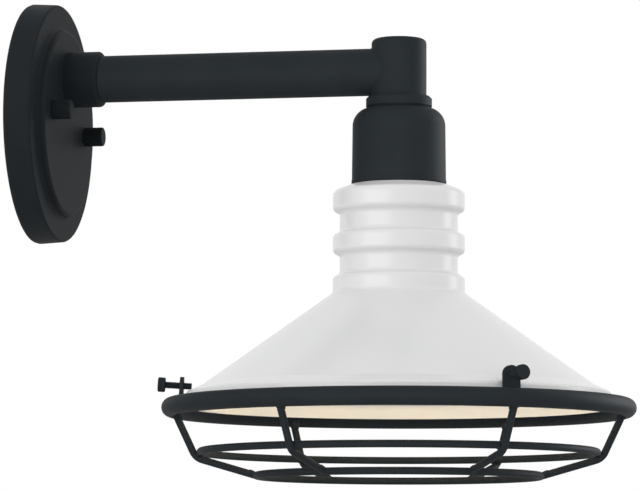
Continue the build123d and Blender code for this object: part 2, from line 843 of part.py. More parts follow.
with BuildPart() as tab_form:
    with BuildSketch(tip_plane.offset(tab_s - tab_t / 2)):
        Circle(tab_w / 2)
        with Locations((0, -tab_drop / 2)):
            Rectangle(tab_w, tab_drop)
        Circle(screw_d / 2 + run_gap, mode=Mode.SUBTRACT)
    extrude(amount=tab_t)
    add(guard_rim_ring.part, mode=Mode.SUBTRACT)

with BuildPart() as shank_form:
    with BuildSketch(tip_plane):
        Circle(screw_d / 2)
    extrude(amount=screw_len)

with BuildPart() as head_form:
    with BuildSketch(tip_plane.offset(screw_len)):
        Circle(head_d / 2)
    extrude(amount=head_t)
    chamfer(head_form.edges().filter_by(GeomType.CIRCLE), head_edge)
    with BuildSketch(tip_plane.offset(screw_len)):
        with PolarLocations(head_d / 2, head_flutes):
            Circle(head_flute_d / 2)
    extrude(amount=head_t, mode=Mode.SUBTRACT)

for number in range(tab_count):
    azimuth = 180 + guard_turn + number * 360 / tab_count

    with BuildPart() as guard_tab:
        add(tab_form.part.rotate(lamp_axis, azimuth))
    guard_tab.part.label = "guard_tab_" + str(number + 1)
    export_step(guard_tab.part, "parts/guard_tab_" + str(number + 1) + ".step")

    with BuildPart() as screw_shank:
        add(shank_form.part.rotate(lamp_axis, azimuth))
    screw_shank.part.label = "screw_shank_" + str(number + 1)
    export_step(screw_shank.part, "parts/screw_shank_" + str(number + 1) + ".step")

    with BuildPart() as screw_head:
        add(head_form.part.rotate(lamp_axis, azimuth))
    screw_head.part.label = "screw_head_" + str(number + 1)
    export_step(screw_head.part, "parts/screw_head_" + str(number + 1) + ".step")
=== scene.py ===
"""Outdoor wall sconce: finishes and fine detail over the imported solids, in a plain studio."""

import json
import logging
from dataclasses import dataclass, field
from enum import Enum
from math import cos, pi, radians, sin

import bpy
from mathutils import Matrix, Vector

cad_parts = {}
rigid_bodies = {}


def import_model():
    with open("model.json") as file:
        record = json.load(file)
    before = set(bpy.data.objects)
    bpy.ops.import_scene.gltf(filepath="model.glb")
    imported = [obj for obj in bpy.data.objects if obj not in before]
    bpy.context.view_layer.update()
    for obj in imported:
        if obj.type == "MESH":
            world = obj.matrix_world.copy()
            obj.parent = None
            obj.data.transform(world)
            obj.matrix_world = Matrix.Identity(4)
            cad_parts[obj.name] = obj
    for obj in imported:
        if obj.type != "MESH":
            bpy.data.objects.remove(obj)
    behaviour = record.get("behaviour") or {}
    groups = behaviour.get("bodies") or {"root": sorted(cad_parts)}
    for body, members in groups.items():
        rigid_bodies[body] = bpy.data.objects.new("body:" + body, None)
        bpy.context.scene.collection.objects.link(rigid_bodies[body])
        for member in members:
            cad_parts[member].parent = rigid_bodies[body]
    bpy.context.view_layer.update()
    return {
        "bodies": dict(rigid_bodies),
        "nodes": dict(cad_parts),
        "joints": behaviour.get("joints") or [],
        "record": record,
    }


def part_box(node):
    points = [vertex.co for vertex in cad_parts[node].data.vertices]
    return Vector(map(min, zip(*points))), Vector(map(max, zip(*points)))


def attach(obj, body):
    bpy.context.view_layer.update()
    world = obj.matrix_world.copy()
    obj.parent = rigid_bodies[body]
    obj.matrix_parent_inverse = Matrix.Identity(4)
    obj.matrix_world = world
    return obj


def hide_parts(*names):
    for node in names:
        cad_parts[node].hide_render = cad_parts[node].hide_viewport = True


LOG = logging.getLogger("wall_sconce")

Piece = bpy.types.Object
Socket = bpy.types.NodeSocket
Span = tuple[float, float]
Triple = tuple[float, float, float]

X_AXIS = Vector((1, 0, 0))
Y_AXIS = Vector((0, 1, 0))
Z_AXIS = Vector((0, 0, 1))

# Metres: size of the plane that an outline starts from, and how close doubles and cuts are held.
SEED_SIZE = 0.001
MERGE_GAP = 0.000002
CUT_GAP = 0.0000001

CREASE_ANGLE = radians(38)
SOFTEN_LEVELS = 2

# Values between which most of a noise pattern lies.
NOISE_SPAN: Span = (0.3, 0.7)

# Black pieces at the wall, which the edge and fill lamps leave out.
NEAR_WALL = ("backplate", "arm_collar", "barrel_nut_left", "barrel_nut_right")


class Slot(Enum):
    """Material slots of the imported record."""

    BLACK_COAT = "black_coat"
    WHITE_ENAMEL = "white_enamel"
    ZINC_STEEL = "zinc_steel"
    GREEN_ZINC = "green_zinc"
    BRASS = "brass"
    PORCELAIN = "porcelain"
    HOLDER_PLASTIC = "holder_plastic"
    CAST_ALUMINIUM = "cast_aluminium"
    LAMP_ALUMINIUM = "lamp_aluminium"
    RUBBER = "rubber"
    DARK_GLASS = "dark_glass"
    LAMP_WHITE = "lamp_white"
    LAMP_OPAL = "lamp_opal"


class Body(Enum):
    """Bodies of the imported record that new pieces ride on."""

    FIXTURE = "fixture"
    GUARD = "guard"
    LAMP = "lamp"
    LAMP_FOOT = "lamp_foot"


class NodeSheet:
    """Node tree of one finish, with short ways to add the patterns that finishes share."""

    def __init__(self, name: str) -> None:
        """Starts a material with one shader on Object coordinates.

        Args:
            name: Name of the material.
        """
        self.material = bpy.data.materials.new(name)
        self.material.use_nodes = True
        self.tree = self.material.node_tree
        self.tree.nodes.clear()
        self.output = self.tree.nodes.new("ShaderNodeOutputMaterial")
        self.shader = self.tree.nodes.new("ShaderNodeBsdfPrincipled")
        self.place = self.tree.nodes.new("ShaderNodeTexCoord").outputs["Object"]
        self.join(self.shader.outputs["BSDF"], self.output.inputs["Surface"])

    def join(self, start: Socket, end: Socket) -> None:
        """Links one socket to another."""
        self.tree.links.new(start, end)

    def feed(self, socket: str, source: Socket) -> None:
        """Links a pattern to a named socket of the shader."""
        self.join(source, self.shader.inputs[socket])

    def fix(self, socket: str, value: float | tuple[float, ...]) -> None:
        """Sets a named socket of the shader to one value."""
        self.shader.inputs[socket].default_value = value

    def stretched(self, stretch: Triple) -> Socket:
        """Object coordinates scaled by axis.

        Args:
            stretch: Scale along X, Y and Z.

        Returns:
            The scaled coordinates.
        """
        mapping = self.tree.nodes.new("ShaderNodeMapping")
        mapping.inputs["Scale"].default_value = stretch
        self.join(self.place, mapping.inputs["Vector"])
        return mapping.outputs["Vector"]

    def lamplight(self, thrown: float, spread: float, seen: float) -> Socket:
        """Strength of a lit surface that lights near things as softly as far ones.

        Args:
            thrown: Strength that reaches far things.
            spread: Square of the distance within which the light is held back, in square metres.
            seen: Strength that the camera sees.

        Returns:
            The emission strength.
        """
        falloff = self.tree.nodes.new("ShaderNodeLightFalloff")
        falloff.inputs["Strength"].default_value = thrown
        falloff.inputs["Smooth"].default_value = spread
        choose = self.tree.nodes.new("ShaderNodeMix")
        path = self.tree.nodes.new("ShaderNodeLightPath")
        self.join(path.outputs["Is Camera Ray"], choose.inputs["Factor"])
        self.join(falloff.outputs["Quadratic"], choose.inputs["A"])
        choose.inputs["B"].default_value = seen
        return choose.outputs["Result"]

    def noise(self, size: float, detail: float, stretch: Triple = (1, 1, 1)) -> Socket:
        """Soft noise.

        Args:
            size: Size of one blotch, in metres.
            detail: Octaves of finer noise.
            stretch: Scale along X, Y and Z before the noise.

        Returns:
            The noise factor, from 0 to 1.
        """
        node = self.tree.nodes.new("ShaderNodeTexNoise")
        node.inputs["Scale"].default_value = 1 / size
        node.inputs["Detail"].default_value = detail
        self.join(self.stretched(stretch), node.inputs["Vector"])
        return node.outputs["Fac"]

    def tint(self, factor: Socket, low: Triple, high: Triple) -> Socket:
        """Colour that runs between two shades.

        Args:
            factor: Noise that picks the shade.
            low: Colour where the noise is low.
            high: Colour where the noise is high.

        Returns:
            The colour.
        """
        ramp = self.tree.nodes.new("ShaderNodeValToRGB")
        for stop, position, colour in zip(ramp.color_ramp.elements, NOISE_SPAN, (low, high)):
            stop.position = position
            stop.color = (*colour, 1)
        self.join(factor, ramp.inputs["Fac"])
        return ramp.outputs["Color"]

    def spread(self, factor: Socket, low: float, high: float) -> Socket:
        """Noise brought to another range.

        Args:
            factor: Noise to bring over.
            low: Value where the noise is low.
            high: Value where the noise is high.

        Returns:
            The value.
        """
        node = self.tree.nodes.new("ShaderNodeMapRange")
        node.inputs["From Min"].default_value = NOISE_SPAN[0]
        node.inputs["From Max"].default_value = NOISE_SPAN[1]
        node.inputs["To Min"].default_value = low
        node.inputs["To Max"].default_value = high
        self.join(factor, node.inputs["Value"])
        return node.outputs["Result"]

    def bump(self, height: Socket, depth: float, under: Socket | None = None) -> Socket:
        """Relief from a pattern.

        Args:
            height: Pattern read as height.
            depth: Height of the relief, in metres.
            under: Relief that this one lies on.

        Returns:
            The bumped normal.
        """
        node = self.tree.nodes.new("ShaderNodeBump")
        node.inputs["Strength"].default_value = 1.0
        node.inputs["Distance"].default_value = depth
        self.join(height, node.inputs["Height"])
        if under is not None:
            self.join(under, node.inputs["Normal"])
        return node.outputs["Normal"]


@dataclass(frozen=True)
class PowderCoat:
    """Textured powder coat: fine grain over a soft orange peel; the last three are shares."""

    name: str
    deep: Triple
    light: Triple
    specular: float
    roughness: Span
    grain: float
    peel: float
    drift_per_peel: float = 8.0
    grain_depth: float = 0.06
    peel_depth: float = 0.012

    def mix(self) -> bpy.types.Material:
        """Makes the material."""
        sheet = NodeSheet(self.name)
        grain = sheet.noise(self.grain, 3.0)
        peel = sheet.noise(self.peel, 1.0)
        drift = sheet.noise(self.peel * self.drift_per_peel, 4.0)
        relief = sheet.bump(peel, self.peel * self.peel_depth)
        sheet.feed("Base Color", sheet.tint(drift, self.deep, self.light))
        sheet.feed("Roughness", sheet.spread(grain, *self.roughness))
        sheet.feed("Normal", sheet.bump(grain, self.grain * self.grain_depth, relief))
        sheet.fix("Specular IOR Level", self.specular)
        return sheet.material


@dataclass(frozen=True)
class Enamel:
    """Fired enamel on spun steel: glossy, with a faint peel and a slight drift of tone."""

    name: str
    cool: Triple
    warm: Triple
    roughness: Span
    peel: float
    specular: float = 0.5
    drift_per_peel: float = 14.0
    peel_depth: float = 0.006

    def mix(self) -> bpy.types.Material:
        """Makes the material."""
        sheet = NodeSheet(self.name)
        drift = sheet.noise(self.peel * self.drift_per_peel, 2.0)
        peel = sheet.noise(self.peel, 1.0)
        sheet.feed("Base Color", sheet.tint(drift, self.cool, self.warm))
        sheet.feed("Roughness", sheet.spread(drift, *self.roughness))
        sheet.feed("Normal", sheet.bump(peel, self.peel * self.peel_depth))
        sheet.fix("Specular IOR Level", self.specular)
        return sheet.material


@dataclass(frozen=True)
class BareMetal:
    """Plated or turned metal with fine tool marks across one axis and a cloudy tone."""

    name: str
    dull: Triple
    bright: Triple
    roughness: Span
    marks: Triple = (1, 1, 1)
    mark_size: float = 0.0016
    mark_depth: float = 0.00003
    cloud: float = 0.006

    def mix(self) -> bpy.types.Material:
        """Makes the material."""
        sheet = NodeSheet(self.name)
        marks = sheet.noise(self.mark_size, 3.0, self.marks)
        cloud = sheet.noise(self.cloud, 4.0)
        sheet.feed("Base Color", sheet.tint(cloud, self.dull, self.bright))
        sheet.feed("Roughness", sheet.spread(marks, *self.roughness))
        sheet.feed("Normal", sheet.bump(marks, self.mark_depth))
        sheet.fix("Metallic", 1.0)
        return sheet.material


@dataclass(frozen=True)
class Moulded:
    """Moulded, fired or foamed body: pores, a cloudy tone and an even sheen."""

    name: str
    dark: Triple
    light: Triple
    roughness: Span
    specular: float
    pore: float
    relief: float
    cloud_per_pore: float = 9.0

    def mix(self) -> bpy.types.Material:
        """Makes the material."""
        sheet = NodeSheet(self.name)
        pore = sheet.noise(self.pore, 2.0)
        cloud = sheet.noise(self.pore * self.cloud_per_pore, 3.0)
        sheet.feed("Base Color", sheet.tint(cloud, self.dark, self.light))
        sheet.feed("Roughness", sheet.spread(pore, *self.roughness))
        sheet.feed("Normal", sheet.bump(pore, self.relief))
        sheet.fix("Specular IOR Level", self.specular)
        return sheet.material


@dataclass(frozen=True)
class Opal:
    """Opal glass lit from within."""

    name: str
    thin: Triple
    thick: Triple
    glow: Triple
    thrown: float
    spread: float
    seen: float
    cloud: float = 0.012
    roughness: Span = (0.16, 0.24)

    def mix(self) -> bpy.types.Material:
        """Makes the material."""
        sheet = NodeSheet(self.name)
        cloud = sheet.noise(self.cloud, 3.0)
        sheet.feed("Base Color", sheet.tint(cloud, self.thin, self.thick))
        sheet.feed("Roughness", sheet.spread(cloud, *self.roughness))
        sheet.fix("Emission Color", (*self.glow, 1))
        strength = sheet.lamplight(self.thrown, self.spread, self.seen)
        sheet.feed("Emission Strength", strength)
        return sheet.material


Finish = PowderCoat | Enamel | BareMetal | Moulded | Opal

# Tool marks of pieces turned or rolled round Z.
TURNED: Triple = (0.2, 0.2, 3.0)

FINISHES: dict[Slot, Finish] = {
    Slot.BLACK_COAT: PowderCoat(
        "black_powder_coat",
        deep=(0.0146, 0.0181, 0.0210),
        light=(0.0169, 0.0207, 0.0238),
        specular=0.04,
        roughness=(0.50, 0.64),
        grain=0.0007,
        peel=0.0030,
    ),
    Slot.WHITE_ENAMEL: Enamel(
        "white_enamel",
        cool=(0.790, 0.795, 0.795),
        warm=(0.805, 0.805, 0.800),
        roughness=(0.22, 0.27),
        peel=0.0040,
    ),
    Slot.ZINC_STEEL: BareMetal(
        "zinc_plate",
        dull=(0.50, 0.51, 0.52),
        bright=(0.66, 0.67, 0.67),
        roughness=(0.26, 0.42),
    ),
    Slot.GREEN_ZINC: BareMetal(
        "green_zinc_plate",
        dull=(0.07, 0.24, 0.10),
        bright=(0.11, 0.36, 0.16),
        roughness=(0.28, 0.44),
    ),
    Slot.BRASS: BareMetal(
        "brass",
        dull=(0.62, 0.42, 0.17),
        bright=(0.80, 0.58, 0.28),
        roughness=(0.22, 0.38),
        marks=TURNED,
    ),
    Slot.PORCELAIN: Moulded(
        "glazed_porcelain",
        dark=(0.78, 0.76, 0.71),
        light=(0.84, 0.83, 0.79),
        roughness=(0.10, 0.18),
        specular=0.5,
        pore=0.0015,
        relief=0.000006,
    ),
    Slot.HOLDER_PLASTIC: Moulded(
        "phenolic_black",
        dark=(0.018, 0.017, 0.016),
        light=(0.030, 0.028, 0.026),
        roughness=(0.32, 0.46),
        specular=0.4,
        pore=0.0008,
        relief=0.000015,
    ),
    Slot.CAST_ALUMINIUM: BareMetal(
        "turned_aluminium",
        dull=(0.58, 0.59, 0.60),
        bright=(0.72, 0.73, 0.74),
        roughness=(0.30, 0.46),
        marks=TURNED,
    ),
    Slot.LAMP_ALUMINIUM: BareMetal(
        "rolled_aluminium",
        dull=(0.60, 0.61, 0.62),
        bright=(0.76, 0.77, 0.78),
        roughness=(0.20, 0.34),
        marks=TURNED,
    ),
    Slot.RUBBER: Moulded(
        "foam_rubber",
        dark=(0.012, 0.012, 0.012),
        light=(0.026, 0.026, 0.026),
        roughness=(0.80, 0.95),
        specular=0.25,
        pore=0.0006,
        relief=0.00012,
    ),
    Slot.DARK_GLASS: Moulded(
        "fused_dark_glass",
        dark=(0.010, 0.010, 0.012),
        light=(0.020, 0.020, 0.024),
        roughness=(0.06, 0.12),
        specular=0.5,
        pore=0.0020,
        relief=0.000008,
    ),
    Slot.LAMP_WHITE: Moulded(
        "lamp_white_plastic",
        dark=(0.76, 0.76, 0.74),
        light=(0.82, 0.82, 0.80),
        roughness=(0.34, 0.46),
        specular=0.45,
        pore=0.0007,
        relief=0.000010,
    ),
    Slot.LAMP_OPAL: Opal(
        "lit_opal_glass",
        thin=(0.88, 0.84, 0.76),
        thick=(0.80, 0.75, 0.66),
        glow=(1.0, 0.76, 0.44),
        thrown=41.0,
        spread=0.02,
        seen=0.45,
    ),
}


class Bench:
    """Modelling steps, as by hand, that the sub-assemblies share."""

    @staticmethod
    def clear() -> None:
        """Deselects every object."""
        bpy.ops.object.select_all(action="DESELECT")

    @staticmethod
    def pick(piece: Piece) -> None:
        """Selects one piece alone and makes it the active one.

        Args:
            piece: Piece to work on.
        """
        Bench.clear()
        piece.select_set(True)
        bpy.context.view_layer.objects.active = piece

    @staticmethod
    def label(name: str) -> Piece:
        """Names the active piece and its mesh.

        Args:
            name: Name of the piece.

        Returns:
            The piece.
        """
        piece = bpy.context.active_object
        piece.name = name
        piece.data.name = name
        return piece

    @staticmethod
    def profile(name: str, start: Vector, steps: list[Vector]) -> Piece:
        """Draws an open outline from one point.

        Args:
            name: Name of the piece.
            start: First point.
            steps: Moves from each point to the next.

        Returns:
            The piece, left in edit mode.
        """
        Bench.clear()
        bpy.ops.mesh.primitive_plane_add(size=SEED_SIZE, location=(0, 0, 0))
        piece = Bench.label(name)
        bpy.ops.object.mode_set(mode="EDIT")
        bpy.ops.mesh.select_all(action="SELECT")
        bpy.ops.mesh.merge(type="CENTER")
        bpy.ops.transform.translate(value=start)
        for step in steps:
            bpy.ops.mesh.extrude_region_move(TRANSFORM_OT_translate={"value": step})
        return piece

    @staticmethod
    def stack(name: str, corners: int, rings: list[Triple]) -> Piece:
        """Extrudes a disc through rings along Z and rounds it off.

        Args:
            name: Name of the piece.
            corners: Corners of the disc.
            rings: Height and half widths along X and Y of each ring.

        Returns:
            The closed piece.
        """
        Bench.clear()
        level, wide, deep = rings[0]
        bpy.ops.mesh.primitive_circle_add(
            vertices=corners, radius=1.0, fill_type="NGON", location=(0, 0, 0)
        )
        piece = Bench.label(name)
        bpy.ops.object.mode_set(mode="EDIT")
        bpy.ops.mesh.select_all(action="SELECT")
        bpy.ops.transform.resize(value=(wide, deep, 1))
        bpy.ops.transform.translate(value=(0, 0, level))
        for height, next_wide, next_deep in rings[1:]:
            rise = (0, 0, height - level)
            bpy.ops.mesh.extrude_region_move(TRANSFORM_OT_translate={"value": rise})
            bpy.ops.transform.resize(value=(next_wide / wide, next_deep / deep, 1))
            level, wide, deep = height, next_wide, next_deep
        Bench.outward(piece)
        smooth = piece.modifiers.new("soften", "SUBSURF")
        smooth.levels = SOFTEN_LEVELS
        smooth.render_levels = SOFTEN_LEVELS
        bpy.ops.object.modifier_apply(modifier=smooth.name)
        bpy.ops.object.shade_smooth()
        return piece

    @staticmethod
    def lathe(name: str, start: Vector, steps: list[Vector], sides: int) -> Piece:
        """Turns a closed outline round Z.

        Args:
            name: Name of the piece.
            start: First point of the outline.
            steps: Moves from each point to the next, back to the first.
            sides: Sides of the turned piece.

        Returns:
            The closed piece.
        """
        piece = Bench.profile(name, start, steps)
        bpy.ops.object.mode_set(mode="OBJECT")
        turned = piece.modifiers.new("turn", "SCREW")
        turned.axis = "Z"
        turned.steps = sides
        turned.render_steps = sides
        turned.use_merge_vertices = True
        turned.merge_threshold = MERGE_GAP
        bpy.ops.object.modifier_apply(modifier=turned.name)
        bpy.ops.object.mode_set(mode="EDIT")
        Bench.outward(piece)
        bpy.ops.object.shade_smooth_by_angle(angle=CREASE_ANGLE)
        return piece

    @staticmethod
    def outward(piece: Piece) -> None:
        """Merges doubles, turns all faces outward and leaves edit mode.

        Args:
            piece: Piece in edit mode.
        """
        bpy.ops.mesh.select_all(action="SELECT")
        bpy.ops.mesh.remove_doubles(threshold=MERGE_GAP)
        bpy.ops.mesh.normals_make_consistent(inside=False)
        bpy.ops.object.mode_set(mode="OBJECT")
        bpy.context.view_layer.objects.active = piece

    @staticmethod
    def copy(piece: Piece, name: str) -> Piece:
        """Copies a piece with a mesh of its own.

        Args:
            piece: Piece to copy.
            name: Name of the copy.

        Returns:
            The copy.
        """
        Bench.pick(piece)
        bpy.ops.object.duplicate(linked=False)
        return Bench.label(name)

    @staticmethod
    def repeat(first: Piece, kind: str, count: int) -> list[Piece]:
        """Copies a piece until there are enough of its kind.

        Args:
            first: Piece with the number 1.
            kind: Name of the pieces without their number.
            count: Pieces wanted in all.

        Returns:
            The pieces in the order of their numbers.
        """
        numbers = range(2, count + 1)
        return [first] + [Bench.copy(first, "%s_%d" % (kind, number)) for number in numbers]

    @staticmethod
    def settle(piece: Piece, place: Matrix) -> None:
        """Puts a piece in its place and applies that to its mesh.

        Args:
            piece: Piece made at the origin.
            place: Where it goes.
        """
        Bench.pick(piece)
        piece.matrix_world = place
        bpy.ops.object.transform_apply(location=True, rotation=True, scale=True)


def along(origin: Vector, axis: Vector, side: Vector) -> Matrix:
    """Matrix that lays a piece's Z along an axis and its X near a side direction.

    Args:
        origin: Where the piece's origin goes.
        axis: Direction of the piece's Z.
        side: Rough direction of the piece's X.

    Returns:
        The matrix.
    """
    z_axis = axis.normalized()
    y_axis = z_axis.cross(side).normalized()
    x_axis = y_axis.cross(z_axis)
    turn = Matrix((x_axis, y_axis, z_axis)).transposed().to_4x4()
    return Matrix.Translation(origin) @ turn


def underside(low: Vector, high: Vector) -> Vector:
    """Middle of the underside of a box.

    Args:
        low: Lowest corner.
        high: Highest corner.

    Returns:
        The point.
    """
    return Vector(((low.x + high.x) / 2, (low.y + high.y) / 2, low.z))


@dataclass(frozen=True)
class ScrewThread:
    """Thread rolled on a rod, made along Z from the origin; lead-in and flanks are in pitches."""

    crest: float
    root: float
    pitch: float
    length: float
    sides: int = 24
    rounded: bool = False
    lead_in: float = 1.537
    spare_turns: int = 3
    round_steps: int = 10
    flanks: tuple[Span, ...] = ((0.1, 0.0), (0.5, 1.0), (0.6, 1.0), (1.0, 0.0))

    def outline(self) -> list[Vector]:
        """Moves along one pitch of the thread, from root to root.

        Returns:
            The moves.
        """
        depth = self.crest - self.root
        corners = self.flanks
        if self.rounded:
            shares = [n / self.round_steps for n in range(1, self.round_steps + 1)]
            corners = tuple((share, 0.5 - 0.5 * cos(2 * pi * share)) for share in shares)
        moves = []
        last_level, last_height = 0.0, 0.0
        for level, height in corners:
            out, up = (height - last_height) * depth, (level - last_level) * self.pitch
            moves.append(Vector((out, 0, up)))
            last_level, last_height = level, height
        return moves

    def roll(self, name: str) -> Piece:
        """Models the threaded rod.

        Args:
            name: Name of the piece.

        Returns:
            The closed piece.
        """
        start = Vector((self.root, 0, -self.lead_in * self.pitch))
        piece = Bench.profile(name, start, self.outline())
        bpy.ops.object.mode_set(mode="OBJECT")
        sweep = piece.modifiers.new("sweep", "SCREW")
        sweep.axis = "Z"
        sweep.angle = 2 * pi
        sweep.screw_offset = self.pitch
        sweep.iterations = int(self.length / self.pitch) + self.spare_turns
        sweep.steps = self.sides
        sweep.render_steps = self.sides
        bpy.ops.object.modifier_apply(modifier=sweep.name)
        bpy.ops.object.mode_set(mode="EDIT")
        bpy.ops.mesh.select_all(action="SELECT")
        bpy.ops.mesh.remove_doubles(threshold=MERGE_GAP)
        cut = {"plane_no": (0, 0, 1), "use_fill": True, "threshold": CUT_GAP}
        bpy.ops.mesh.bisect(plane_co=(0, 0, 0), clear_inner=True, **cut)
        bpy.ops.mesh.select_all(action="SELECT")
        bpy.ops.mesh.bisect(plane_co=(0, 0, self.length), clear_outer=True, **cut)
        Bench.outward(piece)
        bpy.ops.object.shade_smooth_by_angle(angle=CREASE_ANGLE)
        return piece


class Workshop:
    """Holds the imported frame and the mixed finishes, and dresses nodes and new pieces."""

    def __init__(self, frame: dict) -> None:
        """Mixes every finish once.
        """
        self.nodes: dict[str, Piece] = frame["nodes"]
        self.joints: dict[str, dict] = {joint["name"]: joint for joint in frame["joints"]}
        self.paints = {slot: finish.mix() for slot, finish in FINISHES.items()}
        self.coated: dict[Slot, list[Piece]] = {slot: [] for slot in Slot}

    def paint(self, slot: Slot, *names: str) -> None:
        """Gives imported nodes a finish.

        Args:
            slot: Finish to use.
            names: Nodes to dress.
        """
        for name in names:
            for holder in self.nodes[name].material_slots:
                holder.material = self.paints[slot]
            self.coated[slot].append(self.nodes[name])
            LOG.info("dressed %s in %s", name, slot.value)

    def fit(self, piece: Piece, slot: Slot, body: str, *stands_for: str) -> None:
        """Finishes a new piece and hands it to its body.

        Args:
            piece: Piece in its place.
            slot: Finish to use.
            body: Body that it rides on.
            stands_for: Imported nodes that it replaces.
        """
        piece.data.materials.clear()
        piece.data.materials.append(self.paints[slot])
        self.coated[slot].append(piece)
        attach(piece, body)
        if stands_for:
            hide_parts(*stands_for)
        LOG.info("fitted %s on %s", piece.name, body)


class Assembly:
    """Sub-assembly that models its own fine pieces and dresses its nodes."""

    def build(self, shop: Workshop) -> None:
        """Models the fine pieces; a plain sub-assembly has none."""

    def dress(self, shop: Workshop) -> None:
        """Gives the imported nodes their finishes."""
        raise NotImplementedError


@dataclass
class WallPlate(Assembly):
    """Stepped plate, gasket, straps and the two threaded studs."""

    stud_crest: float = 0.0021
    stud_root: float = 0.00172
    stud_pitch: float = 0.000794
    plated: tuple[str, ...] = (
        "box_strap", "fixture_strap", "pivot_screw", "stud_lock_nuts", "mounting_studs"
    )

    def build(self, shop: Workshop) -> None:
        """Models the threaded studs.

        Args:
            shop: Frame and finishes.
        """
        low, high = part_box("mounting_studs")
        thread = ScrewThread(self.stud_crest, self.stud_root, self.stud_pitch, high.x - low.x)
        stud = thread.roll("threaded_stud_left")
        twin = Bench.copy(stud, "threaded_stud_right")
        for piece, side in ((stud, "left"), (twin, "right")):
            spot = Vector(shop.joints["barrel_nut_%s_turn" % side]["pos_m"])
            spot.x = low.x
            Bench.settle(piece, along(spot, X_AXIS, Z_AXIS))
            shop.fit(piece, Slot.ZINC_STEEL, Body.FIXTURE.value, "mounting_studs")

    def dress(self, shop: Workshop) -> None:
        """Gives the plate and straps their finishes."""
        shop.paint(Slot.BLACK_COAT, "backplate")
        shop.paint(Slot.RUBBER, "wall_gasket")
        shop.paint(Slot.ZINC_STEEL, *self.plated)
        shop.paint(Slot.GREEN_ZINC, "ground_screw")


@dataclass
class BarrelNuts(Assembly):
    """The two capped nuts on the plate's face."""

    sides: tuple[str, str] = ("left", "right")

    def dress(self, shop: Workshop) -> None:
        """Gives the nuts and their inserts their finishes."""
        for side in self.sides:
            shop.paint(Slot.BLACK_COAT, "barrel_nut_" + side)
            shop.paint(Slot.BRASS, "nut_insert_" + side)


@dataclass
class Arm(Assembly):
    """Arm tube with its collar, tee housing and the hardware behind the plate."""

    coated: tuple[str, ...] = ("arm_collar", "arm_tube", "tee_housing")
    plated: tuple[str, ...] = ("arm_nipple", "arm_washer", "arm_lock_nut")

    def dress(self, shop: Workshop) -> None:
        """Gives the arm and its hardware their finishes."""
        shop.paint(Slot.BLACK_COAT, *self.coated)
        shop.paint(Slot.ZINC_STEEL, *self.plated)


@dataclass
class SocketCup(Assembly):
    """Cup under the tee with its ring and nipple."""

    coated: tuple[str, ...] = ("cup_ring", "socket_cup")
    plated: tuple[str, ...] = ("cup_nipple", "cup_lock_nut")

    def dress(self, shop: Workshop) -> None:
        """Gives the cup and its hardware their finishes."""
        shop.paint(Slot.BLACK_COAT, *self.coated)
        shop.paint(Slot.ZINC_STEEL, *self.plated)


@dataclass
class Lampholder(Assembly):
    """Porcelain lampholder with its cap, screws, shell and contact."""

    def dress(self, shop: Workshop) -> None:
        """Gives each piece of the holder its finish."""
        shop.paint(Slot.HOLDER_PLASTIC, "holder_cap")
        shop.paint(Slot.ZINC_STEEL, "cap_screws")
        shop.paint(Slot.PORCELAIN, "holder_body")
        shop.paint(Slot.BRASS, "screw_shell", "holder_contact")


@dataclass
class Lamp(Assembly):
    """Screw-in lamp with a rolled thread on its shell and a soldered tip.

    The tip's rings are shares of the button's height and radius.
    """

    thread_depth: float = 0.00040
    thread_bed: float = 0.00005
    thread_sides: int = 48
    pitch: float = 0.00363
    chamfer: float = 0.0034
    tip_rings: tuple[Span, ...] = (
        (0.05, 0.80), (0.05, 0.98), (0.55, 0.98), (0.98, 0.62), (0.98, 0.30)
    )
    tip_corners: int = 24

    def roll_thread(self, shop: Workshop) -> None:
        """Models the rolled thread round the shell.

        Args:
            shop: Frame and finishes.
        """
        low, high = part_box("lamp_shell")
        root = (high.x - low.x) / 2 - self.thread_bed
        length = high.z - low.z - self.chamfer
        thread = ScrewThread(
            root + self.thread_depth, root, self.pitch, length, self.thread_sides, rounded=True
        )
        piece = thread.roll("lamp_thread")
        Bench.settle(piece, along(underside(low, high), Z_AXIS, X_AXIS))
        shop.fit(piece, Slot.LAMP_ALUMINIUM, Body.LAMP.value)

    def solder_tip(self, shop: Workshop) -> None:
        """Models the soldered tip in place of the plain button.

        Args:
            shop: Frame and finishes.
        """
        low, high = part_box("lamp_button")
        radius, height = (high.x - low.x) / 2, high.z - low.z
        rings = [(height * up, radius * out, radius * out) for up, out in self.tip_rings]
        tip = Bench.stack("lamp_tip", self.tip_corners, rings)
        Bench.settle(tip, along(underside(low, high), Z_AXIS, X_AXIS))
        shop.fit(tip, Slot.BRASS, Body.LAMP_FOOT.value, "lamp_button")

    def build(self, shop: Workshop) -> None:
        """Models the thread and the tip."""
        self.roll_thread(shop)
        self.solder_tip(shop)

    def dress(self, shop: Workshop) -> None:
        """Gives each piece of the lamp its finish."""
        shop.paint(Slot.BRASS, "lamp_button")
        shop.paint(Slot.DARK_GLASS, "lamp_glass")
        shop.paint(Slot.LAMP_ALUMINIUM, "lamp_shell")
        shop.paint(Slot.LAMP_WHITE, "lamp_collar")
        shop.paint(Slot.LAMP_OPAL, "lamp_globe")


@dataclass
class Shade(Assembly):
    """Spun shade with its seal and clamp ring."""

    skin: tuple[str, ...] = ("shade_neck", "shade_cone", "shade_brim")

    def dress(self, shop: Workshop) -> None:
        """Gives the shade, seal and clamp their finishes."""
        shop.paint(Slot.WHITE_ENAMEL, *self.skin)
        shop.paint(Slot.RUBBER, "shade_seal")
        shop.paint(Slot.CAST_ALUMINIUM, "shade_clamp")


@dataclass(frozen=True)
class WeldKind:
    """One kind of weld bead: its shape, where the first one sits and how many go round."""

    name: str
    rings: list[Triple]
    spot: Vector
    axis: Vector
    count: int


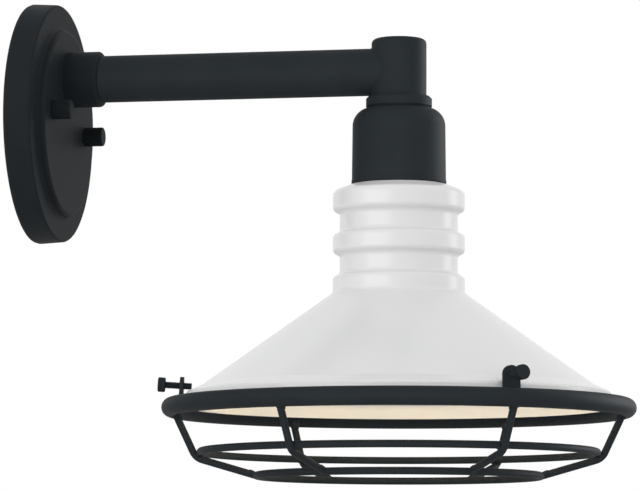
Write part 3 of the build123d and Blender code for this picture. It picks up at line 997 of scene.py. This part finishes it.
@dataclass
class WireGuard(Assembly):
    """Welded guard: rings, ribs, tabs and the weld beads where they meet.

    Heights of the collar and foot beads are in metres and their widths in rib radii. Heights of
    the lens and seam beads are shares of half their length; the seam's widths are in metres.
    """

    ribs: int = 6
    tabs: int = 3
    rib_r: float = 0.00235
    top_in: float = 0.0012
    rim_weld_down: float = 0.0030
    low_weld_out: float = 0.0009
    weld_sink: float = 0.0004
    tab_weld_r: float = 0.0049
    tab_weld_z: float = 0.0034
    tab_w: float = 0.0116
    bead_corners: int = 16
    bead_side: Triple = (0.3, 0.1, 1)
    collar: tuple[Span, ...] = (
        (0.0, 1.60), (0.0022, 1.58), (0.0034, 1.26), (0.0050, 1.06), (0.0062, 0.92)
    )
    foot: tuple[Triple, ...] = (
        (0.0, 0.95, 1.04), (0.0016, 0.99, 1.16), (0.0030, 1.00, 1.08),
        (0.0042, 0.98, 1.00), (0.0050, 0.90, 0.90),
    )
    lens_half: float = 2.0
    lens: tuple[Span, ...] = ((-1.0, 0.25), (-0.7, 0.55), (0.0, 0.80), (0.7, 0.55), (1.0, 0.25))
    seam: tuple[Triple, ...] = (
        (-1.0, 0.0006, 0.0006), (-0.9, 0.0013, 0.0013), (-0.3, 0.0014, 0.0013),
        (0.3, 0.0013, 0.0014), (0.9, 0.0013, 0.0013), (1.0, 0.0006, 0.0006),
    )

    def ring(self, name: str) -> tuple[Vector, float, float]:
        """Centre, radius and wire radius of a packed ring.

        Args:
            name: Node of the ring.

        Returns:
            The three measures.
        """
        low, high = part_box(name)
        wire = (high.z - low.z) / 2
        return (low + high) / 2, (high.x - low.x) / 2 - wire, wire

    def welds(self) -> tuple[WeldKind, ...]:
        """Works out each kind of bead from the rings that it joins.

        Returns:
            The kinds, with their first bead straight out along X.
        """
        rim, rim_r, _ = self.ring("guard_rim_ring")
        mid, mid_r, wire = self.ring("guard_mid_ring")
        low, low_r, _ = self.ring("guard_low_ring")
        fall = Vector((mid_r - rim_r + self.top_in, 0, mid.z - rim.z)).normalized()
        reach_in = Vector((low_r - mid_r, 0, low.z - mid.z)).normalized()
        outer = -(fall - reach_in).normalized()
        if outer.x < 0:
            outer = -outer
        rib, half, width = self.rib_r, self.rib_r * self.lens_half, self.tab_w / 2
        at_rim = Vector((rim_r - self.top_in, 0, rim.z)) + fall * self.rim_weld_down
        at_mid = Vector((mid_r, 0, mid.z)) + outer * (wire - self.weld_sink / 2)
        at_low = Vector((low_r, 0, low.z)) - reach_in * self.low_weld_out
        at_tab = Vector((rim_r - self.tab_weld_r, 0, rim.z + self.tab_weld_z))
        collar = [(up, rib * out, rib * out) for up, out in self.collar]
        lens = [(half * up, rib * out, rib * out) for up, out in self.lens]
        foot = [(up, rib * wide, rib * deep) for up, wide, deep in self.foot]
        seam = [(width * up, wide, deep) for up, wide, deep in self.seam]
        return (
            WeldKind("rim_weld", collar, at_rim, fall, self.ribs),
            WeldKind("mid_weld", lens, at_mid, Y_AXIS, self.ribs),
            WeldKind("low_weld", foot, at_low, -reach_in, self.ribs),
            WeldKind("tab_weld", seam, at_tab, Y_AXIS, self.tabs),
        )

    def build(self, shop: Workshop) -> None:
        """Models one weld of each kind and copies it round the guard.

        Args:
            shop: Frame and finishes.
        """
        rim, _, _ = self.ring("guard_rim_ring")
        start = Vector(shop.joints["thumbscrew_1_turn"]["axis"])
        first = Vector((start.x, start.y, 0)).normalized()
        clock = Matrix((first, Vector((-first.y, first.x, 0)), Z_AXIS)).transposed().to_4x4()
        centre = Matrix.Translation(Vector((rim.x, rim.y, 0)))
        for weld in self.welds():
            bead = Bench.stack(weld.name + "_1", self.bead_corners, weld.rings)
            lie = along(weld.spot, weld.axis, Vector(self.bead_side))
            for number, piece in enumerate(Bench.repeat(bead, weld.name, weld.count)):
                turn = Matrix.Rotation(2 * pi * number / weld.count, 4, "Z")
                Bench.settle(piece, centre @ turn @ clock @ lie)
                shop.fit(piece, Slot.BLACK_COAT, Body.GUARD.value)

    def dress(self, shop: Workshop) -> None:
        """Gives every wire and tab its finish."""
        shop.paint(Slot.BLACK_COAT, "guard_rim_ring", "guard_mid_ring", "guard_low_ring")
        shop.paint(Slot.BLACK_COAT, *["guard_rib_%d" % (n + 1) for n in range(self.ribs)])
        shop.paint(Slot.BLACK_COAT, *["guard_tab_%d" % (n + 1) for n in range(self.tabs)])


@dataclass
class Thumbscrews(Assembly):
    """Three thumbscrews with threaded shanks, and the tapped bushes that they run in."""

    count: int = 3
    thread: ScrewThread = ScrewThread(crest=0.0023, root=0.00186, pitch=0.0008, length=0.0170)
    bush_r: float = 0.00232
    bush_wall: float = 0.00034
    bush_len: float = 0.0023
    bush_start: float = 0.00521
    bush_sides: int = 48

    def tap_bushes(self, shop: Workshop) -> None:
        """Models one tapped bush and copies it into each tab.

        Args:
            shop: Frame and finishes.
        """
        wall, height = Vector((self.bush_wall, 0, 0)), Vector((0, 0, self.bush_len))
        outline = [wall, height, -wall, -height]
        bush = Bench.lathe("tapped_bush_1", X_AXIS * self.bush_r, outline, self.bush_sides)
        for number, piece in enumerate(Bench.repeat(bush, "tapped_bush", self.count), 1):
            joint = shop.joints["thumbscrew_%d_turn" % number]
            axis = Vector(joint["axis"])
            spot = Vector(joint["pos_m"]) + axis * self.bush_start
            Bench.settle(piece, along(spot, axis, Z_AXIS))
            shop.fit(piece, Slot.BLACK_COAT, Body.GUARD.value)

    def roll_shanks(self, shop: Workshop) -> None:
        """Models one threaded shank and copies it for each screw.

        Args:
            shop: Frame and finishes.
        """
        shank = self.thread.roll("threaded_shank_1")
        for number, piece in enumerate(Bench.repeat(shank, "threaded_shank", self.count), 1):
            joint = shop.joints["thumbscrew_%d_turn" % number]
            Bench.settle(piece, along(Vector(joint["pos_m"]), Vector(joint["axis"]), Z_AXIS))
            body = "thumbscrew_shank_%d" % number
            shop.fit(piece, Slot.BLACK_COAT, body, "screw_shank_%d" % number)

    def build(self, shop: Workshop) -> None:
        """Models the bushes and the shanks."""
        self.tap_bushes(shop)
        self.roll_shanks(shop)

    def dress(self, shop: Workshop) -> None:
        """Gives heads and shanks their finish."""
        for number in range(1, self.count + 1):
            shop.paint(Slot.BLACK_COAT, "screw_head_%d" % number, "screw_shank_%d" % number)


@dataclass(frozen=True)
class Softbox:
    """Oblong soft lamp aimed at the sconce, which can be kept to one coat without some pieces."""

    name: str
    place: Triple
    size: Span
    power: float
    coat: Slot | None = None
    flagged: tuple[str, ...] = ()

    def hang(self, target: Vector, shop: Workshop) -> None:
        """Adds the lamp.

        Args:
            target: Point that it faces.
            shop: Frame and finishes.
        """
        Bench.clear()
        bpy.ops.object.light_add(type="AREA", location=self.place)
        lamp = bpy.context.active_object
        lamp.name = self.name
        lamp.data.shape = "RECTANGLE"
        lamp.data.size, lamp.data.size_y = self.size
        lamp.data.energy = self.power
        aim = (target - Vector(self.place)).to_track_quat("-Z", "Y")
        lamp.rotation_euler = aim.to_euler()
        lamp.visible_camera = False
        if self.coat:
            lit = bpy.data.collections.new(self.name + "_lit")
            for piece in shop.coated[self.coat]:
                if piece.name not in self.flagged:
                    lit.objects.link(piece)
            lamp.light_linking.receiver_collection = lit


@dataclass
class Studio:
    """Pale floor, soft lamps, white surround and the camera."""

    eye: Triple = (0.7124624, -2.4884057, -0.3265583)
    yaw: float = 0.2065419
    pitch: float = 0.0953543
    roll: float = 0.0028192
    lens: float = 221.9526
    sensor: float = 36.0
    clip: Span = (0.05, 60.0)
    floor_level: float = -0.45
    floor_size: float = 14.0
    floor_low: Triple = (0.78, 0.78, 0.78)
    floor_high: Triple = (0.80, 0.80, 0.795)
    floor_blotch: float = 0.4
    floor_roughness: float = 0.9
    surround: float = 1.04
    overhead: float = 0.66
    target: Vector = field(default_factory=lambda: Vector((0.2, 0, -0.08)))
    lamps: tuple[Softbox, ...] = (
        Softbox("front_softbox", (-1.25, -2.6, -0.5), (2.7, 2.2), 41.0),
        Softbox("right_softbox", (2.15, 1.1, -0.1), (0.8, 1.8), 9.5, Slot.WHITE_ENAMEL),
        Softbox("edge_softbox", (1.84, 1.51, 0.25), (1.1, 1.8), 42.0, Slot.BLACK_COAT, NEAR_WALL),
        Softbox("fill_softbox", (0.75, -2.65, -0.25), (0.6, 0.6), 38.0, Slot.BLACK_COAT, NEAR_WALL),
    )

    def camera(self) -> None:
        """Puts the camera where the photograph was taken from."""
        ahead = Vector((-sin(self.yaw), cos(self.yaw), 0))
        right = Vector((cos(self.yaw), sin(self.yaw), 0))
        forward = ahead * cos(self.pitch) + Z_AXIS * sin(self.pitch)
        top = Z_AXIS * cos(self.pitch) - ahead * sin(self.pitch)
        across = right * cos(self.roll) + top * sin(self.roll)
        top = top * cos(self.roll) - right * sin(self.roll)
        Bench.clear()
        bpy.ops.object.camera_add()
        camera = bpy.context.active_object
        camera.name = "photo_camera"
        camera.data.sensor_fit = "HORIZONTAL"
        camera.data.sensor_width = self.sensor
        camera.data.lens = self.lens
        camera.data.clip_start, camera.data.clip_end = self.clip
        turn = Matrix((across, top, -forward)).transposed().to_4x4()
        camera.matrix_world = Matrix.Translation(Vector(self.eye)) @ turn
        bpy.context.scene.camera = camera

    def sky(self) -> None:
        """White surround to look at, with light on the object that is weaker from above."""
        world = bpy.data.worlds.new("studio_surround")
        world.use_nodes = True
        nodes, join = world.node_tree.nodes, world.node_tree.links.new
        nodes.clear()
        path = nodes.new("ShaderNodeLightPath")
        seen = path.outputs["Is Camera Ray"]
        for ray in ("Is Glossy Ray", "Is Transmission Ray"):
            either = nodes.new("ShaderNodeMath")
            either.operation = "MAXIMUM"
            join(seen, either.inputs[0])
            join(path.outputs[ray], either.inputs[1])
            seen = either.outputs[0]
        light = nodes.new("ShaderNodeBackground")
        white = nodes.new("ShaderNodeBackground")
        for shine in (light, white):
            shine.inputs["Color"].default_value = (1, 1, 1, 1)
        white.inputs["Strength"].default_value = 1.0
        heading = nodes.new("ShaderNodeTexCoord")
        axes = nodes.new("ShaderNodeSeparateXYZ")
        level = nodes.new("ShaderNodeMapRange")
        level.inputs["To Min"].default_value = self.surround
        level.inputs["To Max"].default_value = self.overhead
        mix = nodes.new("ShaderNodeMixShader")
        output = nodes.new("ShaderNodeOutputWorld")
        join(heading.outputs["Generated"], axes.inputs["Vector"])
        join(axes.outputs["Z"], level.inputs["Value"])
        join(level.outputs["Result"], light.inputs["Strength"])
        join(seen, mix.inputs["Fac"])
        join(light.outputs[0], mix.inputs[1])
        join(white.outputs[0], mix.inputs[2])
        join(mix.outputs[0], output.inputs["Surface"])
        bpy.context.scene.world = world

    def floor(self) -> None:
        """Pale floor under the light, clear when seen from below."""
        Bench.clear()
        spot = (0, 0, self.floor_level)
        bpy.ops.mesh.primitive_plane_add(size=self.floor_size, location=spot)
        plane = bpy.context.active_object
        plane.name = "studio_floor"
        sheet = NodeSheet("pale_floor")
        blotch = sheet.noise(self.floor_blotch, 2.0)
        sheet.feed("Base Color", sheet.tint(blotch, self.floor_low, self.floor_high))
        sheet.fix("Roughness", self.floor_roughness)
        clear = sheet.tree.nodes.new("ShaderNodeBsdfTransparent")
        side = sheet.tree.nodes.new("ShaderNodeNewGeometry")
        mix = sheet.tree.nodes.new("ShaderNodeMixShader")
        sheet.join(side.outputs["Backfacing"], mix.inputs["Fac"])
        sheet.join(sheet.shader.outputs["BSDF"], mix.inputs[1])
        sheet.join(clear.outputs["BSDF"], mix.inputs[2])
        sheet.join(mix.outputs[0], sheet.output.inputs["Surface"])
        plane.data.materials.append(sheet.material)

    def build(self, shop: Workshop) -> None:
        """Sets up camera, surround, floor and lamps.

        Args:
            shop: Frame and finishes.
        """
        self.camera()
        self.sky()
        self.floor()
        for lamp in self.lamps:
            lamp.hang(self.target, shop)
        bpy.context.scene.view_settings.view_transform = "Standard"


def main() -> None:
    """Dresses the sconce, adds its fine pieces and lights it."""
    logging.basicConfig(level=logging.INFO, format="%(name)s: %(message)s")
    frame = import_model()
    shop = Workshop(frame)
    parts = (
        WallPlate(), BarrelNuts(), Arm(), SocketCup(), Lampholder(),
        Lamp(), Shade(), WireGuard(), Thumbscrews(),
    )
    for part in parts:
        part.build(shop)
        part.dress(shop)
    Studio().build(shop)
    LOG.info("sizes written")


if __name__ == "__main__":
    main()
